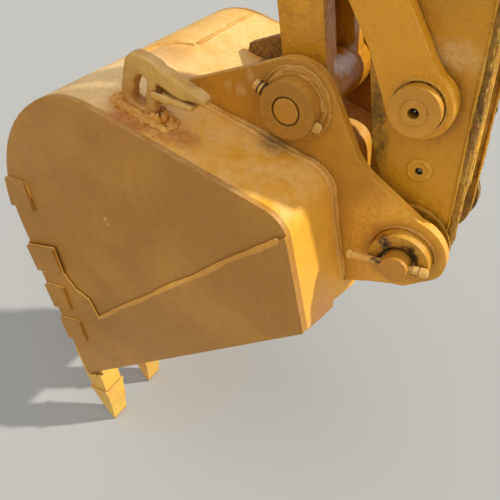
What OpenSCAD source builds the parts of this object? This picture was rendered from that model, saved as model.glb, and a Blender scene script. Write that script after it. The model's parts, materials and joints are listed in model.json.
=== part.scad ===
// Excavator dipper stick with its bucket linkage and digging bucket.
// Units are millimetres. The origin is on the axis of the boom pin, midway between the side plates,
// with +Z up, +X towards the machine and +Y along the pins to the far side.

/* [Stick] */
// Boom pin to bucket pin
stick_length = 2600; // [2400:20:3000]
// Lean of the pin line from the vertical, degrees
stick_lean = 4; // [0:0.5:10]
// Width over the side plates
stick_width = 220; // [200:2:228]
// Thickness of the side plates
stick_side_t = 14; // [10:1:20]
// Thickness of the front and back plates
stick_plate_t = 14; // [10:1:20]
// Side plates stand this far past the front and back plates
stick_lip = 12; // [8:1:20]
// Pin line to the back edge of the side plates
stick_back = 98; // [90:1:110]
// Depth of the stick at its waist
stick_waist = 298; // [280:2:320]
// Waist above the bucket pin
waist_up = 1300; // [1250:10:1400]
// Depth of the stick at its deepest
stick_depth = 436; // [410:2:460]
// Deepest section above the bucket pin
depth_up = 2420; // [2340:10:2480]
// Top of the stick above the boom pin
stick_head = 330; // [300:5:360]
// Radius of the side plates round the bucket pin
nose_r = 98; // [88:1:104]
// Outer radius of the bucket pin tube
nose_tube_r = 72; // [60:1:80]
// Length of the bucket pin tube
nose_tube_w = 280; // [260:2:282]
// Radius of the boss on each side of the nose
nose_boss_r = 103; // [88:1:106]
// The boss stands out from the side plate
nose_boss_t = 12; // [8:1:14]
// Outer radius of the boom pin tube
boom_tube_r = 95; // [80:1:110]
// Radius of the boom pin bore
boom_bore_r = 45; // [35:1:55]
// Length of the boom pin tube
boom_tube_w = 320; // [260:5:380]
// Radius of the side plates round the boom pin
boom_r = 150; // [130:5:180]
// Boom pin to arm cylinder pin
tail_reach = 640; // [560:10:700]
// Tilt of the tail towards the front, degrees
tail_tilt = 25; // [15:1:30]
// Thickness of each tail plate
tail_t = 36; // [28:2:44]
// Gap between the tail plates
tail_gap = 112; // [100:2:124]
// Radius round the arm cylinder pin
tail_r = 88; // [80:1:100]
// Radius of the arm cylinder pin bore
tail_bore_r = 42.5; // [35:0.5:45]

/* [Linkage] */
// Distance between the two bucket pins
ear_reach = 449; // [430:1:470]
// Angle of the upper bucket pin above the horizontal, degrees
ear_angle = 135.4; // [130:0.2:140]
// Guide link pin above the bucket pin, along the stick
guide_up = 370; // [340:2:400]
// Guide link pin in front of the pin line
guide_front = 20; // [0:1:40]
// Length of the guide links
guide_length = 670; // [650:1:700]
// Length of the H link
h_length = 617; // [600:1:640]
// Thickness of each guide link
guide_t = 35; // [28:1:40]
// Half width of a guide link on the H link's side
guide_half = 48; // [44:1:60]
// Half width of a guide link on the other side
guide_back = 62; // [52:1:66]
// Radius of a guide link's eyes
guide_eye_r = 76; // [74:1:84]
// Radius of the caps on the linkage pins
cap_r = 55; // [48:1:58]
// Thickness of the caps
cap_t = 26; // [16:1:30]
// Top pin's eyes clear the front of the stick by this much
link_clear = 105; // [96:1:130]
// Thickness of each arm of the H link
h_t = 56; // [44:2:60]
// Half width of an arm of the H link
h_half = 56; // [48:1:62]
// Radius of the H link's tube and eyes
h_eye_r = 70; // [62:1:76]
// Radius of the bucket and linkage pins
pin_r = 36; // [32:0.5:38]
// Radius of the stub end of the lower pin
stub_r = 34; // [26:0.5:35]

/* [Bucket] */
// Width over the side cutters
bucket_width = 828; // [760:4:900]
// Thickness of the wrapper plate
wrapper_t = 16; // [12:1:20]
// Thickness of the side plates
side_t = 16; // [12:1:22]
// Thickness of the side cutters
cutter_t = 8; // [5:1:14]
// Width of the side cutters behind the mouth line
cutter_w = 254; // [200:2:270]
// How much narrower the side cutter is towards the lip.
cutter_taper = 56; // [0:2:80]
// Bend radius of the throat
throat_r = 90; // [70:5:110]
// Bend radius of the crown
crown_r = 260; // [220:5:280]
// Bend radius of the heel
heel_r = 510; // [440:10:520]
// Thickness of the cutting edge
edge_t = 32; // [25:1:40]
// Depth of the cutting edge plate
edge_w = 230; // [180:5:280]
// Cutting edge past the side plates
edge_out = 34; // [20:1:50]
// Throat plate past the mouth line, between the ears
throat_out = 72; // [40:2:84]
// Centre of an outer tooth from the outer face of its side cutter
tooth_in = 54; // [50:1:80]
// Number of teeth
teeth = 4; // [4:1:4]
// Width of an adapter
adapter_w = 90; // [80:1:94]
// Width of a tooth at its back
tooth_w = 100; // [96:1:106]
// Width of a tooth at its tip
tooth_tip_w = 76; // [64:1:90]
// Length of a tooth
tooth_len = 222; // [200:1:250]
// Length of the collar at the back of a tooth
tooth_rim = 15; // [10:1:24]
// Length of an adapter in front of the cutting edge
adapter_out = 70; // [56:1:84]

/* [Ears] */
// Gap between the ears
ear_gap = 290; // [288:2:300]
// Thickness of an ear
ear_t = 25; // [20:1:30]
// Radius of an ear round the upper pin
ear_upper_r = 105; // [96:1:112]
// Radius of an ear round the lower pin
ear_lower_r = 105; // [100:1:110]
// Radius of the upper bosses
boss_r = 69; // [62:1:76]
// Upper bosses stand out
boss_out = 47; // [36:1:54]
// Radius of the lower collars
collar_r = 75; // [68:1:82]
// Lower collars stand out
collar_out = 38; // [30:1:46]
// Toe of an ear from the throat's corner
ear_toe_back = 440; // [420:5:460]
// Lower pin past the ears
stub_out = 72; // [60:1:84]
// Radius of the lock bolts
bolt_r = 9; // [7:0.5:9.5]

/* [Cylinder] */
// Base pin above the bucket pin, along the stick
base_up = 2560; // [2520:5:2590]
// Base pin in front of the pin line
base_front = 470; // [450:2:500]
// Outer radius of the barrel
barrel_r = 68; // [60:1:72]
// Rod that shows between the gland and the top pin at rest
rod_showing = 213; // [190:5:260]
// Length of the gland
gland_len = 70; // [56:2:90]
// Radius of the rod
rod_r = 40; // [34:1:44]
// Width of the two cylinder eyes
eye_w = 96; // [84:2:100]
// Thickness of each plate of the base bracket
bracket_t = 22; // [18:1:22]
// Outer radius of the cylinder eyes
eye_r = 64; // [56:1:70]

/* [Hook] */
// Length of the lifting hook
hook_len = 250; // [230:5:280]
// Height of the hook above the wrapper
hook_h = 140; // [130:2:150]
// Width of the hook
hook_w = 34; // [28:1:42]
// Distance of the hook from the near side
hook_in = 96; // [70:2:130]
// Left foot of the hook from the throat's corner
hook_back = 510; // [480:5:520]

/* [Wear plates] */
// Thickness of the wear plates
wear_t = 12; // [10:1:20]
// Height of a wear plate along the floor
wear_high = 112; // [90:2:130]
// Width of a wear plate on the side
wear_wide = 140; // [100:5:160]

/* [Hidden] */
$fn = 72;

fit = 0.05;                 // radial clearance of a pin in its bore
seat = 0.2;                 // radial clearance of a tube in a plate
run = 5;                    // side clearance between moving pieces
yellow = [0.86, 0.62, 0.17];
worn = [0.72, 0.50, 0.20];
steel = [0.55, 0.54, 0.52];

guide_tube_r = 64;          // outer radius of the guide pin's tube
face = 0.3;                 // clearance between the faces of turning pieces

// Places of the pins, as [x, z]. The stick's own axes have z along the pin line.
function turned(p, a) = [p[0]*cos(a) - p[1]*sin(a), p[0]*sin(a) + p[1]*cos(a)];
bucket_pin = turned([0, -stick_length], stick_lean);
guide_pin_s = [-guide_front, guide_up];
base_pin_s = [-base_front, base_up];
tail_pin_s = [-tail_reach*sin(tail_tilt), stick_length + tail_reach*cos(tail_tilt)];
upper_pin_b = ear_reach*[cos(ear_angle), sin(ear_angle)];
guide_pin_b = turned(guide_pin_s, stick_lean);
base_pin_b = turned(base_pin_s, stick_lean);
// The top pin lies where the guide links and the H link meet.
link_d = guide_pin_b - upper_pin_b;
link_a = (h_length*h_length - guide_length*guide_length + link_d*link_d)/(2*norm(link_d));
link_h = sqrt(h_length*h_length - link_a*link_a);
link_u = link_d/norm(link_d);
top_pin_b = upper_pin_b + link_a*link_u + link_h*[-link_u[1], link_u[0]];
top_pin_s = turned(top_pin_b, -stick_lean);
link_line = top_pin_b - guide_pin_b;
cyl_line = top_pin_b - base_pin_b;
cyl_angle = atan2(cyl_line[1], cyl_line[0]);
cyl_length = norm(cyl_line);

// Corners of the bucket's outer section, from the bucket pin.
mouth_back = [-140, -145];
throat = [-212, 171];
crown = [-850, 318];
heel = [-1241, 92];
lip = [-1091, -996];

function unit(v) = v/norm(v);
function left(v) = [-v[1], v[0]];
// Arc that rounds corner b of the path a, b, c with radius r.
function rounded(a, b, c, r, n = 10) = let(u = unit(a - b), w = unit(c - b), h = acos(u*w)/2,
    o = b + unit(u + w)*r/sin(h), p = b + u*r/tan(h), q = b + w*r/tan(h),
    a0 = atan2(p[1] - o[1], p[0] - o[0]), a1 = atan2(q[1] - o[1], q[0] - o[0]),
    d = (a1 - a0 > 180) ? a1 - a0 - 360 : (a1 - a0 < -180) ? a1 - a0 + 360 : a1 - a0)
    [for (i = [0:n]) o + r*[cos(a0 + d*i/n), sin(a0 + d*i/n)]];
function arc_points(c, r, a0, a1, n) = [for (i = [0:n]) let(a = a0 + (a1 - a0)*i/n) c + r*[cos(a), sin(a)]];
// Path moved sideways to its left by d, with mitred corners.
function shifted(p, d) = [for (i = [0:len(p) - 1]) let(
    u = (i > 0) ? unit(p[i] - p[i-1]) : unit(p[1] - p[0]),
    w = (i < len(p) - 1) ? unit(p[i+1] - p[i]) : u,
    m = unit(left(u) + left(w))) p[i] + m*d/(m*left(u))];
function back_to_front(p) = [for (i = [len(p) - 1:-1:0]) p[i]];

// Section of the bucket's shell, moved inwards by d.
function shell_line(d) = let(c = shifted([mouth_back, throat, crown, heel, lip], d)) concat([c[0]],
    rounded(c[0], c[1], c[2], throat_r - d, 8), rounded(c[1], c[2], c[3], crown_r - d, 9),
    rounded(c[2], c[3], c[4], heel_r - d, 12), [c[4]]);
top_dir = unit(throat - crown);
floor_dir = unit(lip - heel);
throat_dir = unit(mouth_back - throat);
lip_a = atan2(floor_dir[1], floor_dir[0]);
mouth_dir = unit(lip - mouth_back);
edge_start = lip - floor_dir*edge_w;

// Extrudes a drawing in the XZ plane from y0 to y1.
module slab(y0, y1) translate([0, y1, 0]) rotate([90, 0, 0]) linear_extrude(height = y1 - y0) children();
module both(y0, y1) { slab(y0, y1) children(); slab(-y1, -y0) children(); }
module at(p) translate([p[0], 0, p[1]]) children();
// Round bar or bore along Y about [x, z].
module bar(p, r, w, r0 = 0) slab(-w/2, w/2) translate(p) difference() { circle(r); if (r0 > 0) circle(r0); }
module stick_frame() at(bucket_pin) rotate([0, -stick_lean, 0]) children();
module bucket_frame() at(bucket_pin) children();

// Stick
tail_foot = stick_length + stick_head;
stick_top = stick_back - stick_depth;
front_line = concat([[-0.94*nose_r, 150], [-125, 253], [-guide_front - guide_tube_r - 62, guide_up + 67],
    [top_pin_s[0] + h_eye_r + link_clear, top_pin_s[1]], [stick_back - stick_waist, waist_up],
    [stick_top + 20, depth_up - 300], [stick_top, depth_up], [stick_top, tail_foot]]);
module stick_outline() polygon(concat(front_line, [[-20, tail_foot]],
    arc_points([0, stick_length], boom_r, 25, -45, 14), [[stick_back, stick_length - boom_r - 120]],
    arc_points([0, 0], nose_r, 0, -200, 40)));
module stick_side(y0, y1) color(yellow) stick_frame() slab(y0, y1) difference() {
    stick_outline();
    circle(nose_tube_r + seat);
    translate(guide_pin_s) circle(guide_tube_r + seat);
    translate([0, stick_length]) circle(boom_tube_r + seat);
}
stick_in = stick_width/2 - stick_side_t;
module stick_side_near() stick_side(-stick_width/2, -stick_in);
module stick_side_far() stick_side(stick_in, stick_width/2);
front_face = shifted(front_line, -stick_lip);
front_inside = shifted(front_face, -stick_plate_t);
waist_i = 4;                // corner of the front line at the waist
module front_plate(i, j) color(yellow) stick_frame() slab(-stick_in, stick_in)
    polygon(concat([for (k = [i:j]) front_face[k]], [for (k = [j:-1:i]) front_inside[k]]));
module stick_front_plate() front_plate(0, waist_i);
module stick_front_upper() front_plate(waist_i, len(front_line) - 1);
module stick_back_plate() color(yellow) stick_frame() slab(-stick_in, stick_in)
    translate([stick_back - stick_lip - stick_plate_t, 90])
    square([stick_plate_t, stick_length - boom_r - 140]);
module stick_end_plate() color(yellow) stick_frame() slab(-stick_in, stick_in)
    translate([stick_top + stick_lip + stick_plate_t, tail_foot - stick_lip - stick_plate_t])
    square([-stick_top - 38, stick_plate_t]);
module nose_tube() color(yellow) stick_frame() {
    bar([0, 0], nose_tube_r, nose_tube_w, pin_r + fit);
    both(stick_width/2, stick_width/2 + nose_boss_t) difference() {
        translate([-5, 7]) circle(nose_boss_r);
        circle(nose_tube_r - 10);
    }
}
module guide_tube() color(yellow) stick_frame()
    bar(guide_pin_s, guide_tube_r, 2*(guide_in - face), pin_r + fit);
module boom_tube() color(yellow) stick_frame() bar([0, stick_length], boom_tube_r, boom_tube_w, boom_bore_r);
module tail_plates() color(yellow) stick_frame() both(tail_gap/2, tail_gap/2 + tail_t) difference() {
    union() {
        translate(tail_pin_s) circle(tail_r);
        polygon([[stick_top, tail_foot], tail_pin_s + tail_r*[cos(172), sin(172)],
            tail_pin_s + tail_r*[cos(-8), sin(-8)], [-30, tail_foot]]);
    }
    translate(tail_pin_s) circle(tail_bore_r);
}
base_in = barrel_r + run;
module cylinder_bracket() color(yellow) stick_frame() both(base_in, base_in + bracket_t) difference() {
    union() {
        translate(base_pin_s) circle(eye_r + 8);
        polygon([[stick_top + 38, base_up + 190], base_pin_s + (eye_r + 8)*[cos(120), sin(120)],
            base_pin_s + (eye_r + 8)*[cos(-150), sin(-150)], [stick_top + 48, base_up - 330]]);
    }
    translate(base_pin_s) circle(pin_r + fit);
    polygon(concat(shifted(front_line, -stick_lip), [[0, tail_foot], [0, 150]]));
}
module cylinder_base_pin() color(steel) stick_frame() bar(base_pin_s, pin_r, 2*(base_in + bracket_t + 12));
module grease_bosses() color(yellow) stick_frame() both(stick_width/2, stick_width/2 + 5)
    translate([-6, 202]) difference() { circle(23); circle(9); }

// Bucket
shell_y = bucket_width/2 - cutter_t;
inner_y = shell_y - side_t;
module bucket_outline() polygon(shell_line(0));
module wrapper() color(yellow) bucket_frame() {
    slab(-inner_y, inner_y) difference() {
        polygon(concat(shell_line(0), back_to_front(shell_line(wrapper_t))));
        translate(edge_start) rotate(lip_a) translate([0, -100]) square([600, 300]);
    }
    at(mouth_back) rotate([0, -atan2(throat_dir[1], throat_dir[0]), 0]) translate([0, 0, -wrapper_t])
        linear_extrude(height = wrapper_t) throat_plate();
}
// End of the wrapper past the mouth line, with x down the wrapper and y across the bucket.
module throat_plate() polygon(concat([[0, -inner_y], [8, -inner_y], [throat_out - 23, -250],
    [throat_out - 41, -244], [throat_out, -120]], [[throat_out, 120], [throat_out - 41, 244],
    [throat_out - 23, 250], [8, inner_y], [0, inner_y]]));
module bucket_side(y0, y1) color(yellow) bucket_frame() slab(y0, y1) bucket_outline();
module bucket_side_near() bucket_side(-shell_y, -inner_y);
module bucket_side_far() bucket_side(inner_y, shell_y);
module side_cutters() color(yellow) bucket_frame() both(shell_y, bucket_width/2) intersection() {
    bucket_outline();
    union() {
        polygon([mouth_back - mouth_dir*200, lip + mouth_dir*200,
            lip + mouth_dir*200 - left(mouth_dir)*(cutter_w - cutter_taper),
            mouth_back - mouth_dir*200 - left(mouth_dir)*cutter_w]);
        polygon([lip + mouth_dir*10, lip - mouth_dir*420, [-923, -548], [-950, -470], [-1006, -451],
            [-1055, -379], [-1300, -250], [-1400, -900]]);
    }
}
module cutting_edge() color(worn) bucket_frame() {
    slab(-inner_y, inner_y) polygon([edge_start, lip, lip - left(floor_dir)*-edge_t,
        edge_start + left(floor_dir)*edge_t]);
    slab(-bucket_width/2, bucket_width/2) polygon([lip, lip + floor_dir*edge_out,
        lip + floor_dir*(edge_out - 18) + left(floor_dir)*edge_t, lip + left(floor_dir)*edge_t]);
}

// Adapters and teeth, drawn with x forwards along the floor and y towards the inside of the bucket.
module lip_frame() translate(lip) rotate(lip_a) children();
nose_back = edge_out + 2;
tooth_back = edge_out + adapter_out;
module adapter_body() difference() {
    polygon([[-150, -4], [-140, -28], [nose_back, -31], [tooth_back, -27], [tooth_back, 57],
        [nose_back, 64], [-104, 58], [-116, edge_t + 1]]);
    polygon([[-200, -0.3], [edge_out + 1, -0.3], [edge_out + 1, edge_t*0.4],
        [edge_out - 16, edge_t + 0.3], [-200, edge_t + 0.3]]);
}
nose_w = adapter_w - 28;
nose_len = tooth_len*0.53;
module nose_wedge(c) polygon([[tooth_back - 1, -16 - c], [tooth_back + nose_len + c, 4 - c],
    [tooth_back + nose_len + c, 26 + c], [tooth_back - 1, 46 + c]]);
// The inner leg passes between the side plates, so it is narrower than the rest.
leg_w = 2*(tooth_in - cutter_t - side_t - 1);
module adapter(y) color(worn) bucket_frame() {
    slab(y - adapter_w/2, y + adapter_w/2) lip_frame() intersection() {
        adapter_body();
        union() { translate([-200, -100]) square([400, 100]); translate([4, -100]) square([200, 300]); }
    }
    slab(y - leg_w/2, y + leg_w/2) lip_frame() adapter_body();
    slab(y - nose_w/2, y + nose_w/2) lip_frame() nose_wedge(0);
}
tooth_tip = tooth_back + tooth_len;
module tooth(y) color(worn) bucket_frame() difference() {
    union() {
        intersection() {
            slab(y - tooth_w/2, y + tooth_w/2) lip_frame() polygon([[tooth_back + face, -30],
                [tooth_back + 90, -20], [tooth_tip, 8], [tooth_tip, 20], [tooth_back + 90, 52],
                [tooth_back + face, 60]]);
            at(lip) rotate([0, -lip_a, 0]) translate([0, y, -80]) linear_extrude(height = 200)
                polygon([[tooth_back - 1, -tooth_w/2], [tooth_tip + 1, -tooth_tip_w/2],
                    [tooth_tip + 1, tooth_tip_w/2], [tooth_back - 1, tooth_w/2]]);
        }
        slab(y - tooth_w/2 - 3, y + tooth_w/2 + 3) lip_frame() polygon([[tooth_back + face, -33],
            [tooth_back + tooth_rim, -32], [tooth_back + tooth_rim, 62], [tooth_back + face, 63]]);
    }
    slab(y - nose_w/2 - 0.5, y + nose_w/2 + 0.5) lip_frame() nose_wedge(0.5);
}
tooth_pitch = (bucket_width - 2*tooth_in)/(teeth - 1);
function tooth_y(i) = (i - (teeth + 1)/2)*tooth_pitch;
module adapter_1() adapter(tooth_y(1));
module adapter_2() adapter(tooth_y(2));
module adapter_3() adapter(tooth_y(3));
module adapter_4() adapter(tooth_y(4));
module tooth_1() tooth(tooth_y(1));
module tooth_2() tooth(tooth_y(2));
module tooth_3() tooth(tooth_y(3));
module tooth_4() tooth(tooth_y(4));

// Ears
ear_in = ear_gap/2;
ear_out = ear_in + ear_t;
ear_toe = throat - top_dir*ear_toe_back;
module ear_outline() difference() {
    polygon(concat([ear_toe - left(top_dir)*30, ear_toe + left(top_dir)*30],
        arc_points(upper_pin_b, ear_upper_r, 111, 20, 24),
        rounded(upper_pin_b + ear_upper_r*[cos(20), sin(20)], [-138, 200],
            ear_lower_r*[cos(78), sin(78)], 150, 10),
        arc_points([0, 0], ear_lower_r, 78, 4, 20),
        rounded(ear_lower_r*[cos(4), sin(4)], [ear_lower_r - 2, -34], [20, 2 - ear_lower_r], 60, 6),
        [[20, 2 - ear_lower_r], [-12, -5 - ear_lower_r], [-66, -129], mouth_back + throat_dir*16, mouth_back,
            [-300, 100]]));
    bucket_outline();
}
module ear(y0, y1) color(yellow) bucket_frame() slab(y0, y1) difference() {
    ear_outline();
    translate(upper_pin_b) circle(pin_r + fit);
    circle(pin_r + fit);
}
module ear_near() ear(-ear_out, -ear_in);
module ear_far() ear(ear_in, ear_out);
module ear_web() color(yellow) bucket_frame() slab(-ear_in, ear_in) difference() {
    polygon([ear_toe + top_dir*60 - left(top_dir)*20, ear_toe + top_dir*60 + left(top_dir)*12,
        ear_toe + top_dir*150 + left(top_dir)*34, ear_toe + top_dir*168 - left(top_dir)*20]);
    bucket_outline();
}
// Each lock bolt is [pin, angle, y, distance to its head, distance to its nuts, nuts, washer].
lock_upper = [upper_pin_b, -22.6, ear_out + boss_out*0.55, boss_r + 19, boss_r + face, 1, 14];
lock_lower = [[0, 0], 7.5, ear_out + stub_out - 20, 110, stub_r + 8, 2, 0];
module lock_frame(b, s) translate([b[0][0], s*b[2], b[0][1]]) rotate([0, -b[1], 0]) rotate([0, 90, 0])
    children();
module lock_holes(b) for (s = [-1, 1]) lock_frame(b, s) cylinder(r = bolt_r + 0.3, h = 400, center = true);
module upper_bosses() color(yellow) bucket_frame() difference() {
    both(ear_out, ear_out + boss_out) translate(upper_pin_b)
        difference() { circle(boss_r); circle(pin_r + seat); }
    lock_holes(lock_upper);
}
module upper_pin() color(worn) bucket_frame() difference() {
    union() {
        bar(upper_pin_b, pin_r, 2*(ear_out + boss_out - 8));
        bar(upper_pin_b, pin_r - 5, 2*(ear_out + boss_out - 1));
    }
    lock_holes(lock_upper);
}
module lower_collars() color(yellow) bucket_frame() both(ear_out, ear_out + collar_out) difference() {
    circle(collar_r);
    circle(stub_r + 9);
    polygon([[0, 0], 300*[cos(192), sin(192)], 300*[cos(275), sin(275)], 300*[cos(-2), sin(-2)]]);
}
module lower_pin() color(worn) bucket_frame() difference() {
    union() { bar([0, 0], pin_r, 2*ear_out + 8); bar([0, 0], stub_r, 2*(ear_out + stub_out)); }
    lock_holes(lock_lower);
}
module lock_bolt(b) for (s = [-1, 1]) lock_frame(b, s) {
    translate([0, 0, -b[3] - 12]) cylinder(r = bolt_r, h = b[3] + b[4] + b[5]*17 + 14);
    translate([0, 0, -b[3] - 12]) cylinder(r = bolt_r*1.45, h = 12, $fn = 6);
    if (b[6] > 0) translate([0, 0, -b[3]]) cylinder(r = bolt_r*1.45, h = b[6]);
    for (i = [0:b[5] - 1]) translate([0, 0, b[4] + i*17]) cylinder(r = bolt_r*1.45, h = 15, $fn = 6);
}
module lock_bolts() color(worn) bucket_frame() { lock_bolt(lock_upper); lock_bolt(lock_lower); }

// Lifting hook on the wrapper, drawn along the top of the wrapper from its left foot.
hook_at = throat - top_dir*hook_back;
module hook_frame() translate(hook_at) rotate(atan2(top_dir[1], top_dir[0])) children();
hook_y = -(bucket_width/2 - hook_in);
hook_under = hook_h - 36;   // underside of the hook's bar
module lifting_hook() color(yellow) bucket_frame() slab(hook_y - hook_w/2, hook_y + hook_w/2) hook_frame()
    difference() {
        polygon([[-8, 0.2], [1, 60], [4, hook_h - 40], [11, hook_h - 14], [26, hook_h], [51, hook_h + 8],
            [79, hook_h + 7], [116, hook_h + 1], [162, hook_h - 2], [hook_len - 18, hook_h - 4],
            [hook_len - 4, hook_h - 8], [hook_len, hook_h - 16], [hook_len - 10, hook_h - 21],
            [hook_len - 43, hook_h - 29], [181, hook_h - 40], [153, hook_h - 39], [107, hook_under],
            [108, 50], [114, 0.2]]);
        polygon([[38, 22], [41, hook_under - 24], [45, hook_under - 8], [52, hook_under], [60, hook_under],
            [64, hook_under - 6], [64, 22]]);
        translate(latch_at) circle(5 + fit);
    }
latch_at = [97, hook_under - 30];
latch_end = latch_at + [105, 8];
module hook_latch() color(worn) bucket_frame() {
    slab(hook_y - hook_w/2 - 6, hook_y + hook_w/2 + 6) hook_frame() translate(latch_at) circle(5);
    for (s = [-1, 1]) slab(hook_y + s*(hook_w/2 + 3.5) - 3, hook_y + s*(hook_w/2 + 3.5) + 3) hook_frame()
        hull() for (q = [latch_at, latch_at + [38, 4]]) translate(q) circle(10, $fn = 32);
    slab(hook_y - hook_w/2 - 6.5, hook_y + hook_w/2 + 6.5) hook_frame()
        polygon([latch_at + [23, -6], latch_end, latch_end + [0, 12], latch_at + [22, 10]]);
}

// Wear plates along the edge of the side. Each is [start from the heel corner along the floor,
// share of the width, 1 on the side cutter and 0 on the side plate, tilt of its inner end].
wear_rows = [[139, 0.88, 0, 8], [414, 1, 1, -22], [591, 0.72, 1, -12], [761, 0.8, 1, -20]];
module wear_plates() color(yellow) bucket_frame() for (w = wear_rows) {
    wear_in = shell_y + w[2]*cutter_t + seat;
    both(wear_in, wear_in + wear_t) intersection() {
        bucket_outline();
        wear_strip(w[0], w[1]*wear_wide, w[3]);
    }
}
module wear_strip(s, w, t) polygon([for (q = [[0, -0.4*w], [1.4*t, w], [wear_high - 8 + 1.4*t, w*0.94],
    [wear_high, -0.4*w]]) heel + floor_dir*(s + q[0] - 0.4*t) + left(floor_dir)*q[1]]);

// Linkage
h_in = eye_w/2 + run;
h_out = h_in + h_t;
guide_in = h_out + run;
guide_out = guide_in + guide_t;
module link_outline(p, q, rp, rq, half) {
    translate(p) circle(rp);
    translate(q) circle(rq);
    polygon([p + half*left(unit(q - p)), q + half*left(unit(q - p)), q - half*left(unit(q - p)),
        p - half*left(unit(q - p))]);
}
module h_link() color(yellow) bucket_frame() {
    both(h_in, h_out) difference() {
        link_outline(upper_pin_b, top_pin_b, h_eye_r, h_eye_r, h_half);
        translate(upper_pin_b) circle(pin_r + fit);
        translate(top_pin_b) circle(pin_r + fit);
    }
    difference() {
        union() {
            bar(upper_pin_b, h_eye_r, ear_gap - 2*run);
            slab(-h_in, h_in) translate(upper_pin_b) rotate(atan2((top_pin_b - upper_pin_b)[1],
                (top_pin_b - upper_pin_b)[0])) translate([0, -14]) square([h_length*0.5, 28]);
        }
        bar(upper_pin_b, pin_r + fit, ear_gap + 10);
    }
}
module h_link_pins() color(worn) bucket_frame() both(h_in, h_out) translate(top_pin_b) circle(pin_r);
// Drawn with x along the link from its lower pin, y towards the H link and z outwards from its inner face.
module guide_link_body() {
    linear_extrude(height = guide_t) polygon(concat([[0, 5 - guide_eye_r], [0, guide_eye_r - 5]],
        rounded([0, guide_eye_r - 5], [150, guide_half], [300, guide_half], 260, 4),
        rounded([300, guide_half], [guide_length - 150, guide_half],
            [guide_length, guide_eye_r - 5], 260, 4),
        [[guide_length, guide_eye_r - 5], [guide_length, 5 - guide_eye_r]],
        rounded([guide_length, 5 - guide_eye_r], [guide_length - 70, -guide_back],
            [300, -guide_back], 160, 4),
        rounded([300, -guide_back], [70, -guide_back], [0, 5 - guide_eye_r], 160, 4)));
    for (x = [0, guide_length]) translate([x, 0, 0]) rotate_extrude() polygon([[0, 0], [guide_eye_r, 0],
        [guide_eye_r, guide_t - 8], [guide_eye_r - 5, guide_t], [60, guide_t], [60, guide_t + cap_out],
        [0, guide_t + cap_out]]);
}
cap_out = 4;                // the eyes' faces stand this far past the link
module guide_link(s) color(yellow) bucket_frame() difference() {
    at(guide_pin_b) rotate([0, -atan2(link_line[1], link_line[0]), 0]) rotate([90, 0, 0])
        mirror([0, 0, s > 0 ? 1 : 0]) translate([0, 0, guide_in]) guide_link_body();
    bar(guide_pin_b, pin_r + fit, 600);
    bar(top_pin_b, pin_r + fit, 600);
}
module guide_link_near() guide_link(-1);
module guide_link_far() guide_link(1);
cap_y = guide_out + cap_out;
module pin_cap(p) {
    both(cap_y, cap_y + 4) translate(p) circle(cap_r - 6);
    difference() {
        both(cap_y + 4, cap_y + cap_t) translate(p) circle(cap_r);
        both(cap_y + 8, cap_y + cap_t + 1) translate(p) circle(12);
    }
    both(cap_y + cap_t, cap_y + cap_t + 4) translate(p) difference() { circle(27); circle(12); }
}
module guide_pin() color(worn) bucket_frame() {
    bar(guide_pin_b, pin_r, 2*cap_y);
    pin_cap(guide_pin_b);
}
// The top pin's outer ends turn with the guide links.
module link_pin_ends() color(worn) bucket_frame() {
    both(guide_in, cap_y) translate(top_pin_b) circle(pin_r);
    pin_cap(top_pin_b);
}

// Bucket cylinder, drawn with z along the rod from the base pin.
module cylinder_frame() bucket_frame() at(base_pin_b) rotate([0, 90 - cyl_angle, 0]) children();
barrel_length = cyl_length - rod_showing - gland_len;
bore_floor = eye_r + 40;
piston_at = bore_floor + 66;    // leaves the rod its travel below the rest position
module cylinder_barrel() color(yellow) cylinder_frame() translate([0, 0, bore_floor]) difference() {
    cylinder(r = barrel_r, h = barrel_length - bore_floor);
    translate([0, 0, -1]) cylinder(r = barrel_r - 10, h = barrel_length);
}
module cylinder_base() color(yellow) cylinder_frame() difference() {
    union() {
        translate([0, 0, eye_r*0.8]) cylinder(r = barrel_r, h = bore_floor - eye_r*0.8);
        rotate([90, 0, 0]) cylinder(r = eye_r, h = 2*barrel_r - 2, center = true);
        cylinder(r = eye_r - 1, h = eye_r);
    }
    rotate([90, 0, 0]) cylinder(r = pin_r + fit, h = 200, center = true);
}
module cylinder_gland() color(yellow) cylinder_frame() translate([0, 0, barrel_length]) difference() {
    cylinder(r = barrel_r + 4, h = gland_len);
    translate([0, 0, -1]) cylinder(r = rod_r + fit, h = gland_len + 2);
}
module cylinder_rod() color(steel) cylinder_frame() {
    translate([0, 0, piston_at]) cylinder(r = barrel_r - 11, h = 60);
    translate([0, 0, piston_at]) cylinder(r = rod_r, h = cyl_length - eye_r - 6 - piston_at);
}
module rod_eye() color(yellow) cylinder_frame() translate([0, 0, cyl_length]) difference() {
    union() {
        rotate([90, 0, 0]) cylinder(r = eye_r, h = eye_w, center = true);
        translate([0, 0, -eye_r - 6]) cylinder(r = rod_r + 8, h = eye_r);
    }
    rotate([90, 0, 0]) cylinder(r = pin_r + fit, h = 200, center = true);
}
module rod_eye_pin() color(worn) bucket_frame() bar(top_pin_b, pin_r, eye_w);

stick_side_near();
stick_side_far();
stick_front_plate();
stick_front_upper();
stick_back_plate();
stick_end_plate();
nose_tube();
guide_tube();
boom_tube();
tail_plates();
cylinder_bracket();
cylinder_base_pin();
grease_bosses();
wrapper();
bucket_side_near();
bucket_side_far();
side_cutters();
cutting_edge();
adapter_1();
adapter_2();
adapter_3();
adapter_4();
tooth_1();
tooth_2();
tooth_3();
tooth_4();
ear_near();
ear_far();
ear_web();
upper_bosses();
lower_collars();
upper_pin();
lower_pin();
lock_bolts();
lifting_hook();
hook_latch();
wear_plates();
h_link();
guide_link_near();
guide_link_far();
guide_pin();
link_pin_ends();
cylinder_barrel();
cylinder_base();
cylinder_gland();
cylinder_rod();
rod_eye();
rod_eye_pin();
h_link_pins();
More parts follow.
